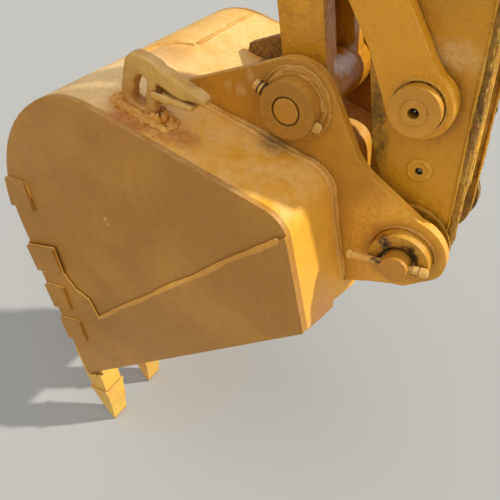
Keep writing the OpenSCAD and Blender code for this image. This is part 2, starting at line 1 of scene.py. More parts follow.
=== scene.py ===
# %% [markdown]
# # Excavator bucket, linkage and dipper stick
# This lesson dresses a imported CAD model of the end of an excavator's arm.
# The steel shapes are already there, in a fixed frame. Here they get worn
# enamel, weld beads, chips, grease and light, one step at a time.

# %% Load the frame
import json
import math
import bmesh
import bpy
import numpy as np
from mathutils import Matrix, Vector


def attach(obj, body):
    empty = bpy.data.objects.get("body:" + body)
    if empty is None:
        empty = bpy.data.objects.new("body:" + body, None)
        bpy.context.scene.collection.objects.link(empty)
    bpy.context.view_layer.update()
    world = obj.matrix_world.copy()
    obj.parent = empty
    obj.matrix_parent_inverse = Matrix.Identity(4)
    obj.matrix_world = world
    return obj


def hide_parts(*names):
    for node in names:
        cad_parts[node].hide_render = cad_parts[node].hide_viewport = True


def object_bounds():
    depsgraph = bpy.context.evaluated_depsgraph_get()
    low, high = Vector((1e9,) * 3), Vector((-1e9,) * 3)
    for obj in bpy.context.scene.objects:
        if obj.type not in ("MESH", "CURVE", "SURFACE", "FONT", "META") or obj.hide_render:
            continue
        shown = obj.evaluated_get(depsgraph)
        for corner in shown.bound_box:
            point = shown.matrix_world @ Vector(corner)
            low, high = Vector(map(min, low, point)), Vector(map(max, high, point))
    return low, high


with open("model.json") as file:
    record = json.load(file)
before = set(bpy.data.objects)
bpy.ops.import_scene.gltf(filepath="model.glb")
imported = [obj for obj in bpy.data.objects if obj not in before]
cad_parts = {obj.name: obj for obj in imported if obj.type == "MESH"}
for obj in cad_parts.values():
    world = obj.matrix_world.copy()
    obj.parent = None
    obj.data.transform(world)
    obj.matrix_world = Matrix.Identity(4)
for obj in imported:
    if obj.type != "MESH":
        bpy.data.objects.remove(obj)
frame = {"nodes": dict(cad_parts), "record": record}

nodes = frame["nodes"]
cad_box = [list(c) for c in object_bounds()]
print("CAD nodes:", len(nodes), "box:", [[round(v, 3) for v in c] for c in cad_box])

# %% [markdown]
# ## Camera
# The photograph looks down on the bucket from beside the stick, about
# 41 degrees below the horizon. A camera can be turned by hand until the
# picture fits, but a fit of the pins and the plates' edges gives its place
# and turn as numbers. Three unit vectors say where its right, top and back
# point, and together they are its rotation matrix.

# %% Camera
IMAGE, FOCAL, SENSOR = 500, 530, 36.0     # pixels, pixels, millimetres
CAM_PLACE = (0.36947, -1.20250, -1.72337)
CAM_RIGHT = (0.85375, 0.52068, 0.0)
CAM_UP = (-0.34339, 0.56306, 0.7517)
CAM_BACK = (0.39139, -0.64176, 0.65951)
camera_data = bpy.data.cameras.new("camera")
camera_data.sensor_width = SENSOR
camera_data.lens = SENSOR * FOCAL / IMAGE
camera_data.clip_start, camera_data.clip_end = 0.05, 100
camera = bpy.data.objects.new("camera", camera_data)
rows = [[CAM_RIGHT[i], CAM_UP[i], CAM_BACK[i], CAM_PLACE[i]] for i in range(3)]
camera.matrix_world = Matrix(rows + [[0, 0, 0, 1]])
bpy.context.scene.collection.objects.link(camera)
bpy.context.scene.camera = camera
print("camera looks down", round(math.degrees(math.asin(CAM_BACK[2])), 1), "degrees")

# %% [markdown]
# ## Light
# The shadows in the photograph say where the sun stands: on the side that
# the stick's back plate faces, 36 degrees round towards the far side, and
# 34 degrees high. A sky image could light the scene, but a few lamps keep
# the object's own colours. One stands where the sun is, a very wide one
# over the near side stands for the open sky, a weak one brightens the
# edges at the stick's back, and an even white world fills the shade. A
# face turned to the lamps gets about the level at which a colour renders
# as it is written.

# %% Light and world
WORLD_LEVEL = 0.36
# Name, strength, angle in radians, tint and the direction to the lamp.
LAMPS = (("main_lamp", 3.5, 0.05, (1.0, 0.97, 0.90), (0.671, 0.487, 0.559)),
         ("sky_lamp", 1.1, 1.8, (1.0, 1.0, 1.0), (-0.25, -0.55, 0.8)),
         ("side_lamp", 0.8, 1.2, (1.0, 0.98, 0.95), (0.85, -0.4, 0.35)))
world = bpy.data.worlds.new("world")
bpy.context.scene.world = world
world.use_nodes = True
world.node_tree.nodes["Background"].inputs["Color"].default_value = (1, 1, 1, 1)
world.node_tree.nodes["Background"].inputs["Strength"].default_value = WORLD_LEVEL
for name, energy, angle, tint, place in LAMPS:
    lamp_data = bpy.data.lights.new(name, "SUN")
    lamp_data.energy, lamp_data.angle, lamp_data.color = energy, angle, tint
    lamp = bpy.data.objects.new(name, lamp_data)
    lamp.rotation_mode = "QUATERNION"
    lamp.rotation_quaternion = Vector(place).to_track_quat("Z", "Y")
    bpy.context.scene.collection.objects.link(lamp)
    print(name, "at", energy)
bpy.context.scene.view_settings.view_transform = "Standard"

# %% [markdown]
# ## Colours and nodes
# Paint colours are written as sRGB hex, as a paint chart gives them.
# The shader wants linear light, so one function turns them over. Another
# adds a shader node with its settings and links and gives back the output
# socket, so that nodes can be written one inside another.

# %% Helpers for colours and nodes
SMOOTH = {"interpolation_type": "SMOOTHSTEP"}
TIMES = {"operation": "MULTIPLY", "use_clamp": True}
TIMES_PLUS = {"operation": "MULTIPLY_ADD"}


def linear(hex_code):
    """sRGB hex to linear RGBA: each channel through the inverse sRGB curve."""
    c = np.array([int(hex_code[i:i + 2], 16) for i in (1, 3, 5)]) / 255
    lin = np.where(c <= 0.04045, c / 12.92, ((c + 0.055) / 1.055) ** 2.4)
    return (*lin.tolist(), 1.0)


def add(tree, kind, settings=None, out=0, **links):
    """Adds a node, sets its attributes, feeds its inputs and returns one of its outputs.

    An input is named by its label with _ for a space, or as i2 by its place in the list."""
    n = tree.nodes.new("ShaderNode" + kind)
    for k, v in (settings or {}).items():
        setattr(n, k, v)
    for k, v in links.items():
        numbered = k[0] == "i" and k[1:].isdigit()
        socket = n.inputs[int(k[1:]) if numbered else k.replace("_", " ")]
        if isinstance(v, bpy.types.NodeSocket):
            tree.links.new(v, socket)
        else:
            socket.default_value = linear(v) if isinstance(v, str) else v
    return n.outputs[out]


def new_material(name):
    """A material with its node tree and its Principled shader."""
    m = bpy.data.materials.new(name)
    m.use_nodes = True
    return m, m.node_tree, m.node_tree.nodes["Principled BSDF"]


print("linear value of mid grey:", [round(v, 3) for v in linear("#808080")])

# %% [markdown]
# ## Worn enamel
# The machine is sprayed with alkyd enamel over primer. Years of digging
# leave it patchy: the paint fades in large soft areas, dust settles on
# what faces up, edges are rubbed pale, small chips show rust, and dirt and
# grease stay in the corners and round the pins. The pale edges are also a
# painted highlight, and the dark corners are also painted shade. It could be
# painted onto an image, but patterns worked out from the place and the
# shape have no seams and fit every piece. Each kind of wear, highlight
# and shade is a mask from 0 to 1, and the masks lay one colour after
# another over the paint.

# %% Noise and dust
# Size in millimetres, detail and roughness: patches, streaks, grain and flecks.
NOISES = ((300, 3, 0.55), (60, 5, 0.62), (12, 4, 0.6), (9, 3, 0.7))


def dust_mask(t, streaks, amount):
    """Dust lies on faces that look up, thicker in some streaks."""
    up = add(t, "SeparateXYZ", out=2, Vector=add(t, "TexCoord", out=1))
    level = add(t, "MapRange", SMOOTH, Value=up, From_Min=0.25, From_Max=0.95, To_Max=amount)
    settled = add(t, "MapRange", SMOOTH, Value=streaks, From_Min=0.34, From_Max=0.62)
    return add(t, "Math", TIMES, i0=level, i1=settled)


def grain_layers(t, where, mottle):
    """Brown mottle of 22 mm, and a light and a dark grain of 3 mm.

    The grain is that of fine dust, drawn coarser than the real one so that it shows."""
    coarse = add(t, "TexNoise", Vector=where, Scale=45.0, Detail=6.0, Roughness=0.7)
    fine = add(t, "TexNoise", Vector=where, Scale=320.0, Detail=2.0)
    rows = (("#9C6528", coarse, 0.45, 0.66, mottle), ("#F6C060", fine, 0.52, 0.70, 0.07),
            ("#6A4414", fine, 0.48, 0.30, 0.12))
    return [(tint, add(t, "MapRange", SMOOTH, Value=noise, From_Min=a, From_Max=b, To_Max=most))
            for tint, noise, a, b, most in rows]


print("noise sizes in mm:", [size for size, _, _ in NOISES])

# %% [markdown]
# The masks for edges and corners could be painted too, but the Bevel and
# Ambient Occlusion nodes look at the real shape. At an edge the Bevel
# node's rounded normal turns away from the true one, and in a corner
# little of the sky is open. The edge mask lays pale paint that is partly a
# painted highlight, and the corner mask lays a dark brown that is partly
# painted shade.

# %% Edges, chips and corners
EDGE_ROUND, SHADE_AND_DIRT_REACH = 0.0035, 0.045   # metres


def edge_mask(t):
    """The rounded normal, and a mask that grows as the true normal turns away from it."""
    rounded = add(t, "Bevel", {"samples": 6}, Radius=EDGE_ROUND)
    turn = add(t, "VectorMath", {"operation": "DOT_PRODUCT"}, out=1,
               i0=add(t, "NewGeometry", out=3), i1=rounded)
    return rounded, add(t, "MapRange", SMOOTH, Value=turn, From_Min=0.995, From_Max=0.90)


def chip_mask(t, edge, fade, fleck, amount):
    """Chips a few millimetres across, more of them along edges and in faded patches."""
    lifted = add(t, "Math", TIMES_PLUS, i0=edge, i1=0.09, i2=fleck)
    lifted = add(t, "Math", TIMES_PLUS, i0=fade, i1=0.03, i2=lifted)
    return add(t, "MapRange", SMOOTH, Value=lifted,
               From_Min=0.725, From_Max=0.755, To_Max=amount)


def dirt_and_painted_shade_mask(t, streaks, amount):
    """Dirt and painted shade in corners, where little of the sky is open, thinner in some streaks.
    """
    sky = add(t, "AmbientOcclusion", {"samples": 6}, out=1, Distance=SHADE_AND_DIRT_REACH)
    deep_in = add(t, "MapRange", SMOOTH, Value=sky, From_Min=0.80, From_Max=0.30, To_Max=amount)
    thick = add(t, "MapRange", SMOOTH, Value=streaks, From_Min=0.35, From_Max=0.60, To_Min=0.45)
    return add(t, "Math", TIMES, i0=deep_in, i1=thick)


print("edges rub over", EDGE_ROUND * 1000, "mm, grime reaches", SHADE_AND_DIRT_REACH * 1000, "mm")

# %% [markdown]
# A spot says where the machine carries grease, rust or primer dust. It is
# a place, an inner and an outer radius, a squeeze, such as (1, 0, 1) to
# measure round an axis along Y, a colour and a strength. A noise moves the
# place that is looked up by some millimetres, so no spot has a drawn
# outline. Where thick paint has cracked, thin dark lines run between
# cells of about 60 mm.

# %% Spots
GREASE, RUST, CRACK = "#1C130A", "#6B3A17", "#7A4418"
SHARP_RIM = 0.008     # a spot with a narrower rim than this keeps its outline


def shaken(t, where):
    """The place moved by a noise of 36 mm: its colour, from 0 to 1, becomes -25 to 25 mm."""
    shake = add(t, "TexNoise", out=1, Vector=where, Scale=28.0, Detail=4.0)
    shake = add(t, "VectorMath", TIMES_PLUS, i0=shake, i1=(0.05,) * 3, i2=(-0.025,) * 3)
    return add(t, "VectorMath", {"operation": "ADD"}, i0=where, i1=shake)


def spot_layers(t, where, moved, grain, spots):
    """A layer for each spot, broken up by the grain, and one mask of all the grease."""
    broken = add(t, "MapRange", SMOOTH, Value=grain, From_Min=0.36, From_Max=0.60, To_Min=0.5)
    layers, oily = [], 0.0
    for place, inner, outer, squeeze, colour, strength in spots:
        seen = where if outer - inner < SHARP_RIM else moved
        away = add(t, "VectorMath", {"operation": "SUBTRACT"}, i0=seen, i1=tuple(place))
        away = add(t, "VectorMath", {"operation": "MULTIPLY"}, i0=away, i1=squeeze)
        away = add(t, "VectorMath", {"operation": "LENGTH"}, out=1, i0=away)
        mask = add(t, "MapRange", SMOOTH, Value=away,
                   From_Min=outer, From_Max=inner, To_Max=strength)
        mask = add(t, "Math", TIMES, i0=mask, i1=broken)
        layers.append((colour, mask))
        if colour == GREASE:
            oily = add(t, "Math", {"operation": "MAXIMUM"}, i0=mask, i1=oily)
    return layers, oily


print("grease is", GREASE, "and rust is", RUST)

# %% Cracks
def crack_layers(t, moved, streaks, cracks):
    """Lines along the borders of cells, in some streaks, near each place that has cracked."""
    if not cracks:
        return []
    cells = add(t, "TexVoronoi", {"feature": "DISTANCE_TO_EDGE"}, Vector=moved, Scale=16.0)
    line = add(t, "MapRange", SMOOTH, Value=cells, From_Min=0.035, From_Max=0.010, To_Max=0.95)
    some = add(t, "MapRange", SMOOTH, Value=streaks, From_Min=0.45, From_Max=0.6)
    layers = []
    for place, inner, outer in cracks:
        away = add(t, "VectorMath", {"operation": "DISTANCE"}, out=1, i0=moved, i1=tuple(place))
        near = add(t, "MapRange", SMOOTH, Value=away, From_Min=outer, From_Max=inner)
        near = add(t, "Math", TIMES, i0=near, i1=some)
        layers.append((CRACK, add(t, "Math", TIMES, i0=line, i1=near)))
    return layers


print("cracks are", CRACK)

# %% [markdown]
# The enamel puts these together. Dust and chips are matt, clean paint has
# a satin gloss, and grease shines. The spray leaves an orange peel and
# small sags, and the chips are cut into it.

# %% The enamel
ENAMEL_IOR = 1.42     # a little under clean alkyd resin's 1.5, for a dusty skin
SAG_DEPTH = 0.0016    # metres


def enamel(name, paint, deep, dust="#E8C187", dust_amount=0.4, rub_and_highlight="#E3B25C", rub_and_highlight_amount=0.5,
           chips=0.5, gloss=0.42, bump=0.5, mottle=0.15, corner_dirt_and_shade=0.55, spots=(), cracks=()):
    """Alkyd enamel, sprayed and weathered: a satin skin with fade, dust, rubbed edges that are
    also a painted highlight, chips, and dirt in corners that is also painted shade.
    """
    m, t, shader = new_material(name)
    where = add(t, "TexCoord", out=3)
    patches, streaks, grain, fleck = (
        add(t, "TexNoise", Vector=where, Scale=1000 / mm, Detail=detail, Roughness=rough)
        for mm, detail, rough in NOISES)

    # The masks of the wear, of a painted highlight on the edges and of painted shade in the
    # corners.
    fade = add(t, "MapRange", SMOOTH, Value=patches, From_Min=0.36, From_Max=0.64)
    streaky = add(t, "MapRange", SMOOTH, Value=streaks, From_Min=0.50, From_Max=0.72, To_Max=0.5)
    dusty = dust_mask(t, streaks, dust_amount)
    rounded, edge = edge_mask(t)
    # Pale paint along the edges: partly rubbed paint, partly a painted highlight.
    worn_and_highlit = add(t, "MapRange", SMOOTH, Value=grain, From_Min=0.40, From_Max=0.58, To_Max=rub_and_highlight_amount)
    rubbed_and_highlit = add(t, "Math", TIMES, i0=edge, i1=worn_and_highlit)
    chip = chip_mask(t, edge, fade, fleck, chips)
    moved = shaken(t, where)
    spot_colours, oily = spot_layers(t, where, moved, grain, spots)

    # The layers go over the paint one after another. The pale edge layer is partly a painted
    # highlight, and the dark corner layer is partly painted shade.
    layers = [(deep, fade), (deep, streaky), (dust, dusty), *grain_layers(t, where, mottle),
              (rub_and_highlight, rubbed_and_highlit), ("#6E3F18", chip), ("#5A3610", dirt_and_painted_shade_mask(t, streaks, corner_dirt_and_shade)),
              *spot_colours, *crack_layers(t, moved, streaks, cracks)]
    colour = linear(paint)
    for tint, mask in layers:
        colour = add(t, "Mix", {"data_type": "RGBA"}, out=2, i0=mask, i6=colour, i7=tint)
    t.links.new(colour, shader.inputs["Base Color"])

    # Roughness: a little streaky, up by half where matt, and low in grease.
    matt = add(t, "Math", {"operation": "ADD"}, i0=dusty, i1=chip)
    rough = add(t, "Math", TIMES_PLUS, i0=streaks, i1=0.25, i2=gloss - 0.1)
    rough = add(t, "Math", {**TIMES_PLUS, "use_clamp": True}, i0=matt, i1=0.5, i2=rough)
    rough = add(t, "Mix", {"data_type": "FLOAT"}, i0=oily, i2=rough, i3=0.25)
    t.links.new(rough, shader.inputs["Roughness"])

    # Orange peel and brush sags of 12 mm over waves of 60 mm, cut by the chips.
    height = add(t, "Math", TIMES_PLUS, i0=streaks, i1=2.2, i2=grain)
    height = add(t, "Math", TIMES_PLUS, i0=chip, i1=-0.5, i2=height)
    t.links.new(add(t, "Bump", Strength=bump, Distance=SAG_DEPTH, Height=height, Normal=rounded),
                shader.inputs["Normal"])
    shader.inputs["IOR"].default_value = ENAMEL_IOR
    return m


print("the enamel's sags are", SAG_DEPTH * 1000, "mm deep")

# %% [markdown]
# ## Places
# The joints of the frame say where the pins are. The bucket's outline is
# drawn again from the same corners as in the CAD, in millimetres from the
# lower bucket pin, because the welds run along it.

# %% Pins and outline
joints = {j["name"]: np.array(j["pos_m"])
          for j in frame["record"]["behaviour"]["joints"] if "pos_m" in j}
PIN, UPPER, GUIDE = (joints[k] for k in ("bucket_curl", "h_link_swing", "guide_link_swing"))
LEAN = math.radians(4)
CORNERS = ((-140, -145), (-212, 171), (-850, 318), (-1241, 92), (-1091, -996))
MOUTH, THROAT, CROWN, HEEL, LIP = (np.array(p, float) for p in CORNERS)


def unit(v):
    """A vector over its own length."""
    return v / np.linalg.norm(v)


def corner(a, b, c, r):
    """Arc of radius r that rounds corner b, with its centre r / sin(half angle) away from b."""
    u, w = unit(a - b), unit(c - b)
    half = math.acos(u @ w) / 2
    o = b + unit(u + w) * r / math.sin(half)
    p, q = b + u * r / math.tan(half), b + w * r / math.tan(half)
    a0, a1 = (math.atan2(*(v - o)[::-1]) for v in (p, q))
    d = (a1 - a0 + math.pi) % (2 * math.pi) - math.pi
    t = a0 + d * np.linspace(0, 1, 40)
    return o + r * np.stack([np.cos(t), np.sin(t)], 1)


TOP_DIR, FLOOR_DIR, MOUTH_DIR = unit(THROAT - CROWN), unit(LIP - HEEL), unit(LIP - MOUTH)
throat_arc = corner(MOUTH, THROAT, CROWN, 90)
shell = np.concatenate([[MOUTH], throat_arc, corner(THROAT, CROWN, HEEL, 260),
                        corner(CROWN, HEEL, LIP, 510), [LIP]])
print("outline of the bucket:", round(np.linalg.norm(np.diff(shell, axis=0), axis=1).sum()), "mm")

# %% [markdown]
# ## Paths
# Welds and rings follow lines on the object. Those that lie in a plane
# across the pins are written in millimetres from the lower bucket pin and
# turned to metres in the frame.

# %% Paths
def resampled(path, step):
    """Points at equal steps of length along a path."""
    s = np.concatenate([[0], np.cumsum(np.linalg.norm(np.diff(path, axis=0), axis=1))])
    n = max(4, int(round(s[-1] / step)) + 1)
    at = np.linspace(0, s[-1], n)
    return np.stack([np.interp(at, s, path[:, i]) for i in range(path.shape[1])], 1)


def side_path(points, y):
    """Path of [x, z] points in millimetres from the lower bucket pin, at y across the bucket."""
    p = np.asarray(points, float) / 1000
    return np.stack([PIN[0] + p[:, 0], np.full(len(p), y / 1000), PIN[2] + p[:, 1]], 1)


def ring_path(centre, r, y, a0=0, a1=360, n=90):
    """Arc round a Y axis: centre + r (cos a, sin a) in the XZ plane at y, in millimetres."""
    a, r = np.radians(np.linspace(a0, a1, n)), r / 1000
    return np.stack([centre[0] + r * np.cos(a), np.full(n, y / 1000),
                     centre[2] + r * np.sin(a)], 1)


shell_fine = resampled(shell, 3.0)
print("outline in steps of 3 mm:", len(shell_fine), "points")

# %% [markdown]
# ## Weld beads
# Every plate is joined by arc welding, which leaves a bead of overlapping
# ripples. A curve with a round bevel would be quick, but smooth. So a bead
# is a low rounded profile that numpy carries along a path. The ripples
# are a sine along the path, bent backwards towards the bead's sides, and
# slow waves make its width and line a little uneven, as a welder's hand
# does. The ripples are drawn 9 mm apart, coarser than the real 2 mm, so
# that they show at this distance.

# %% Faces and unevenness of a bead
SIDES = 12     # points round a bead's profile


def tube_faces(n, closed):
    """Quads between n rings of points, and two fans of triangles that close an open tube.

    The fans meet in two more points, which follow the rings' n * SIDES points."""
    i, k = np.meshgrid(np.arange(n if closed else n - 1), np.arange(SIDES), indexing="ij")
    j, m = (i + 1) % n, (k + 1) % SIDES
    quads = np.stack([i * SIDES + k, i * SIDES + m, j * SIDES + m, j * SIDES + k], -1)
    k = np.arange(SIDES)
    m, end = (k + 1) % SIDES, (n - 1) * SIDES
    first = np.stack([np.full(SIDES, n * SIDES), m, k], 1)
    last = np.stack([np.full(SIDES, n * SIDES + 1), end + k, end + m], 1)
    return [quads.reshape(-1, 4)] + ([] if closed else [first, last])


def uneven_hand(s, width, uneven, seed, closed):
    """Size and sideways wander at length s: slow sines, and quarter circles at open ends."""
    size = 1 + uneven * (0.14 * np.sin(s / 0.033 + seed) + 0.08 * np.sin(s / 0.0121 + 2.3 * seed))
    if not closed:
        rest = np.clip(1 - np.minimum(s, s[-1] - s) / (0.5 * width), 0, 1)
        size = size * np.sqrt(np.clip(1 - rest ** 2, 0.01, 1))
    return size, 0.10 * width * np.sin(s / 0.047 + 1.7 * seed)


print("a closed bead of 100 rings has", len(tube_faces(100, True)[0]), "faces")

# %% Bead surface
def bead(path, up, width, height, pitch=0.009, step=0.0022, closed=False, seed=0.0,
         uneven=1.0, lumps=0.0):
    """Points and faces of one bead. All lengths are in metres.

    Point (s, a) lies at path(s) + side * width / 2 * cos a + up * height * ripple * sin a. The
    ripple is |sin| of the length plus a share of cos a squared. Both ends shrink as a quarter
    circle, and lumps swell the profile by a product of two sines."""
    path = resampled(np.asarray(path, float), step)
    if closed:
        path = path[:-1]
    n = len(path)
    ahead = np.roll(path, -1, 0) - np.roll(path, 1, 0) if closed else np.gradient(path, axis=0)
    ahead /= np.linalg.norm(ahead, axis=1, keepdims=True)
    up = np.broadcast_to(up(path) if callable(up) else np.asarray(up, float), path.shape)
    side = np.cross(ahead, up)
    side /= np.linalg.norm(side, axis=1, keepdims=True)
    up = np.cross(side, ahead)
    size, wander = uneven_hand(np.arange(n) * step, width, uneven, seed, closed)
    s = np.arange(n)[:, None] * step
    a = np.linspace(0, 2 * np.pi, SIDES, endpoint=False)
    across, rise = np.cos(a)[None, :], np.sin(a)[None, :]
    ripple = 0.78 + 0.22 * np.abs(np.sin(np.pi * (s + 0.4 * width * across ** 2) / pitch))
    x = (0.5 * width * size)[:, None] * across + wander[:, None]
    z = (height * size)[:, None] * np.where(rise > 0, rise * ripple, 0.5 * rise)
    swell = np.sin(s / 0.0093 + 2.2 * across + seed) * np.sin(s / 0.0157 - 1.3 * rise)
    x, z = x * (1 + lumps * swell), z * (1 + lumps * swell)
    v = path[:, None] + side[:, None] * x[..., None] + up[:, None] * z[..., None]
    ends = path[:0] if closed else path[[0, -1]]
    return np.concatenate([v.reshape(-1, 3), ends]), tube_faces(n, closed)


def piece(name, parts, body, material):
    """One mesh of many parts, each of points and face arrays and turned to face outwards.

    The sum of a . (b x c) over a part's triangles is six times its volume, so its sign tells."""
    points, faces, base = [], [], 0
    for v, arrays in parts:
        fans = [f[:, [0, i, i + 1]] for f in arrays for i in range(1, f.shape[1] - 1)]
        a, b, c = v[np.concatenate(fans)].transpose(1, 0, 2)
        turn = 1 if (a * np.cross(b, c)).sum() > 0 else -1
        for f in arrays:
            faces += (base + f[:, ::turn]).tolist()
        points.append(v)
        base += len(v)
    mesh = bpy.data.meshes.new(name)
    mesh.from_pydata(np.concatenate(points).tolist(), [], faces)
    mesh.polygons.foreach_set("use_smooth", [True] * len(faces))
    mesh.materials.append(material)
    obj = bpy.data.objects.new(name, mesh)
    bpy.context.scene.collection.objects.link(obj)
    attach(obj, body)
    print(name, "rides on", body, "with", sum(len(f) - 2 for f in faces), "triangles")


print("a bead has", SIDES, "points round its profile")

# %% [markdown]
# ## Spots of the bucket
# Some stains belong to one place: primer shows at the mouth's edge, rust
# grows where the hook and the ears were welded hot, and black grease is
# pressed out over the lower pin's collars. They are listed here by place,
# in millimetres from the lower bucket pin.

# %% Spots of the bucket
ROUND = (1, 0, 1)
hook_at = THROAT - TOP_DIR * 510
toe = THROAT - TOP_DIR * 440
upper_rel, guide_rel = (UPPER - PIN)[[0, 2]] * 1000, (GUIDE - PIN)[[0, 2]] * 1000


def spot_at(x, y, z, inner, outer, colour, strength, squeeze=(1, 1, 1)):
    """A spot at x, y, z in millimetres from the lower bucket pin, with radii in metres."""
    return (PIN + np.array([x, y, z]) / 1000, inner, outer, squeeze, colour, strength)


primer_dust = spot_at(-128, -310, -190, 0.02, 0.12, "#DE9A68", 0.8)
hook_dirt = spot_at(hook_at[0] + 50, -340, hook_at[1], 0.03, 0.12, "#AC6828", 0.5)
toe_rust = spot_at(toe[0], -157, toe[1], 0.02, 0.10, RUST, 0.5)
side_stain = spot_at(-900, -414, -560, 0.02, 0.16, "#8A5A22", 0.4)
crown_rust = spot_at(-790, -40, 300, 0.02, 0.10, "#A8672A", 0.5)
bucket_spots = [primer_dust, hook_dirt, toe_rust, side_stain, crown_rust]

# Two pale chips on the side plate, and the rust below the hook.
chip_spots = [spot_at(x, -406, z, 0.002, 0.008, "#E8C080", 0.7)
              for x, z in ((-777, -51), (-769, -66))]
rust_spots = [spot_at(hook_at[0] + x, y, hook_at[1] - 0.23 * x, 0.012, 0.050, "#B0682C", 0.7)
              for x, y in ((20, -372), (55, -384), (85, -372), (150, -350), (190, -330))]

# The top of the wrapper has bleached in the sun. A dark patch lies at the ear's root.
root_dark_patch = spot_at(-355, -185, 223, 0.02, 0.06, "#4A3820", 0.6)
wrapper_spots = [spot_at(CROWN[0] + 60, -230, CROWN[1], 0.06, 0.32, "#F2D6A4", 0.8),
                 spot_at(-600, 230, 250, 0.12, 0.42, "#FFE0A0", 0.45), root_dark_patch]

print("spots of the bucket:", len(bucket_spots + chip_spots + rust_spots + wrapper_spots))

# %% Spots of the ears and the pins
# A lighter ring round the lower pin, painted on as sunlight on the ear, a dark rim, black grease,
# a near-black patch low on the far ear, dirt and painted shade on the far ear's inner face, and
# scratches at the upper boss.
painted_sunlight_round_pin = spot_at(0, 0, 0, 0.10, 0.22, "#F4B43C", 0.7, ROUND)
pin_rim = spot_at(0, 0, 0, 0.078, 0.118, "#7A5018", 0.45, ROUND)
ear_wear_and_shade_spots = [pin_rim, spot_at(0, 0, 0, 0.042, 0.060, "#140E0A", 0.95, ROUND),
              spot_at(70, 200, 20, 0.06, 0.12, "#2A1C10", 0.9),
              spot_at(upper_rel[0], 0, upper_rel[1], 0.072, 0.10, "#8A5A1E", 0.4, ROUND),
              spot_at(toe[0], -157, toe[1], 0.03, 0.10, RUST, 0.5),
              # Dirt and painted shade on the far ear's inner face.
              spot_at(-600, 145, 300, 0.12, 0.26, "#4E3A26", 0.8)]
ear_wear_and_shade_spots += [spot_at(x, -208, z, 0.010, 0.026, "#140E0A", 0.95)
               for x, z in ((-33, 11), (14, 40), (33, 17), (35, -26), (-42, 49))]
ear_wear_and_shade_spots += [spot_at(x, -170, z, 0.003, 0.016, "#D9B272", 0.5, (1, 1, 0.6))
               for x, z in ((-505, 321), (-470, 308), (-442, 350))]
boss_rim = spot_at(upper_rel[0], 0, upper_rel[1], 0.09, 0.11, "#A87628", 0.6, ROUND)
print("spots of the ears:", len(ear_wear_and_shade_spots))

# %% [markdown]
# ## Spots of the stick and the linkage
# The stick carries old grease round its pins, dark olive patches along its
# front edge and pale patches where the paint has sagged. On the H link's
# tube, white streaks are painted on as a reflection of a bright sky. A
# mirror image would need the sky itself, so they are laid on as pale spots.

# %% Spots of the stick and the linkage
stick_spots = [spot_at(0, 0, 0, 0.085, 0.125, GREASE, 0.6, ROUND),
               spot_at(guide_rel[0], 0, guide_rel[1], 0.070, 0.10, "#7A5018", 0.5, ROUND)]
stick_spots += [spot_at(x, -110, z, 0.006, 0.026, "#3A3212", 0.7, (1, 1, 0.4))
                for x, z in ((-150, 335), (-138, 292), (-117, 225))]
stick_spots += [spot_at(x, -110, z, 0.008, 0.040, "#EBCB8C", 0.28, (0.5, 1, 1.4))
                for x, z in ((-15, 480), (9, 461))]
# Three bands of dirt run the whole length of the back plate.
back_spots = [spot_at(0, y, 0, inner, outer, colour, strength, (0, 1, 0))
              for y, inner, outer, colour, strength in ((-48, 0.012, 0.026, "#4A2E0C", 0.95),
                                                        (34, 0.012, 0.026, "#4A2E0C", 0.95),
                                                        (90, 0.004, 0.014, "#3A2408", 0.9))]
link_spots = [spot_at(guide_rel[0], 0, guide_rel[1], 0.0565, 0.0595, GREASE, 0.9, ROUND)]
# White streaks painted on the tube's top as a reflection of the sky.
tube_painted_reflection_spots = [spot_at(-270, y, 371, 0.012, 0.034, "#FFFFFF", 0.95, (1, 0.8, 1))
              for y in (-42, -18, 6, 30)]
bolt_spots = [spot_at(x, -232, -0.13 * x, 0.005, 0.015, "#1C140C", 0.9)
              for x in (-78, -58, -42, -24, 52)]
print("spots of the stick:", len(stick_spots + back_spots), "and of the tube:", len(tube_painted_reflection_spots))

# %% [markdown]
# ## The finishes
# One enamel covers everything, but each part has weathered differently.
# One material for all would look like a toy, so each kind of part gets its
# own, with the wear that its place and its work give it.

# %% Enamels of the bucket
finishes = {}
# Flat plate, sprayed and then scoured by earth, so it is even and dull.
finishes["side_enamel"] = enamel(
    "dull alkyd enamel on the sides", "#B98130", "#AA752A", dust="#E5BC80", corner_dirt_and_shade=0.15, mottle=0.3,
    spots=bucket_spots + chip_spots)
# Rolled plate that faces the sun: bleached, under pale dust, cracked at the hook.
hook_ground = PIN + np.array([hook_at[0] + 60, -345, hook_at[1]]) / 1000
near_edge = PIN + np.array([hook_at[0] + 40, -412, hook_at[1] - 10]) / 1000
finishes["wrapper_enamel"] = enamel(
    "dusty alkyd enamel on the wrapper", "#EDAC36", "#E2A234", dust="#F0C680", dust_amount=0.45,
    corner_dirt_and_shade=0.4, spots=wrapper_spots + bucket_spots + rust_spots,
    cracks=[(hook_ground, 0.04, 0.13), (near_edge, 0.02, 0.10)])
# A forging under many coats: soft, matt and greyed by dust.
finishes["hook_enamel"] = enamel(
    "dusty alkyd enamel on the hook", "#D2A04A", "#B48A44", dust="#E8C488", dust_amount=0.7,
    spots=[hook_dirt])
# Thick plate cut by flame, with bright edges, rubbed and partly a painted highlight, and grease at
# the pins.
finishes["ear_enamel"] = enamel(
    "alkyd enamel on the ears", "#D39128", "#B87E28", dust="#F0B84A", rub_and_highlight="#F6C64C", gloss=0.38,
    spots=[painted_sunlight_round_pin] + ear_wear_and_shade_spots)
# Turned rings, painted brighter than the plate behind them as sunlight on their rims, half under
# black grease.
finishes["collar_enamel"] = enamel(
    "greasy enamel on the collars", "#EEB034", "#D6962C", dust="#FFD050", rub_and_highlight="#FFD84E",
    gloss=0.36, spots=ear_wear_and_shade_spots)
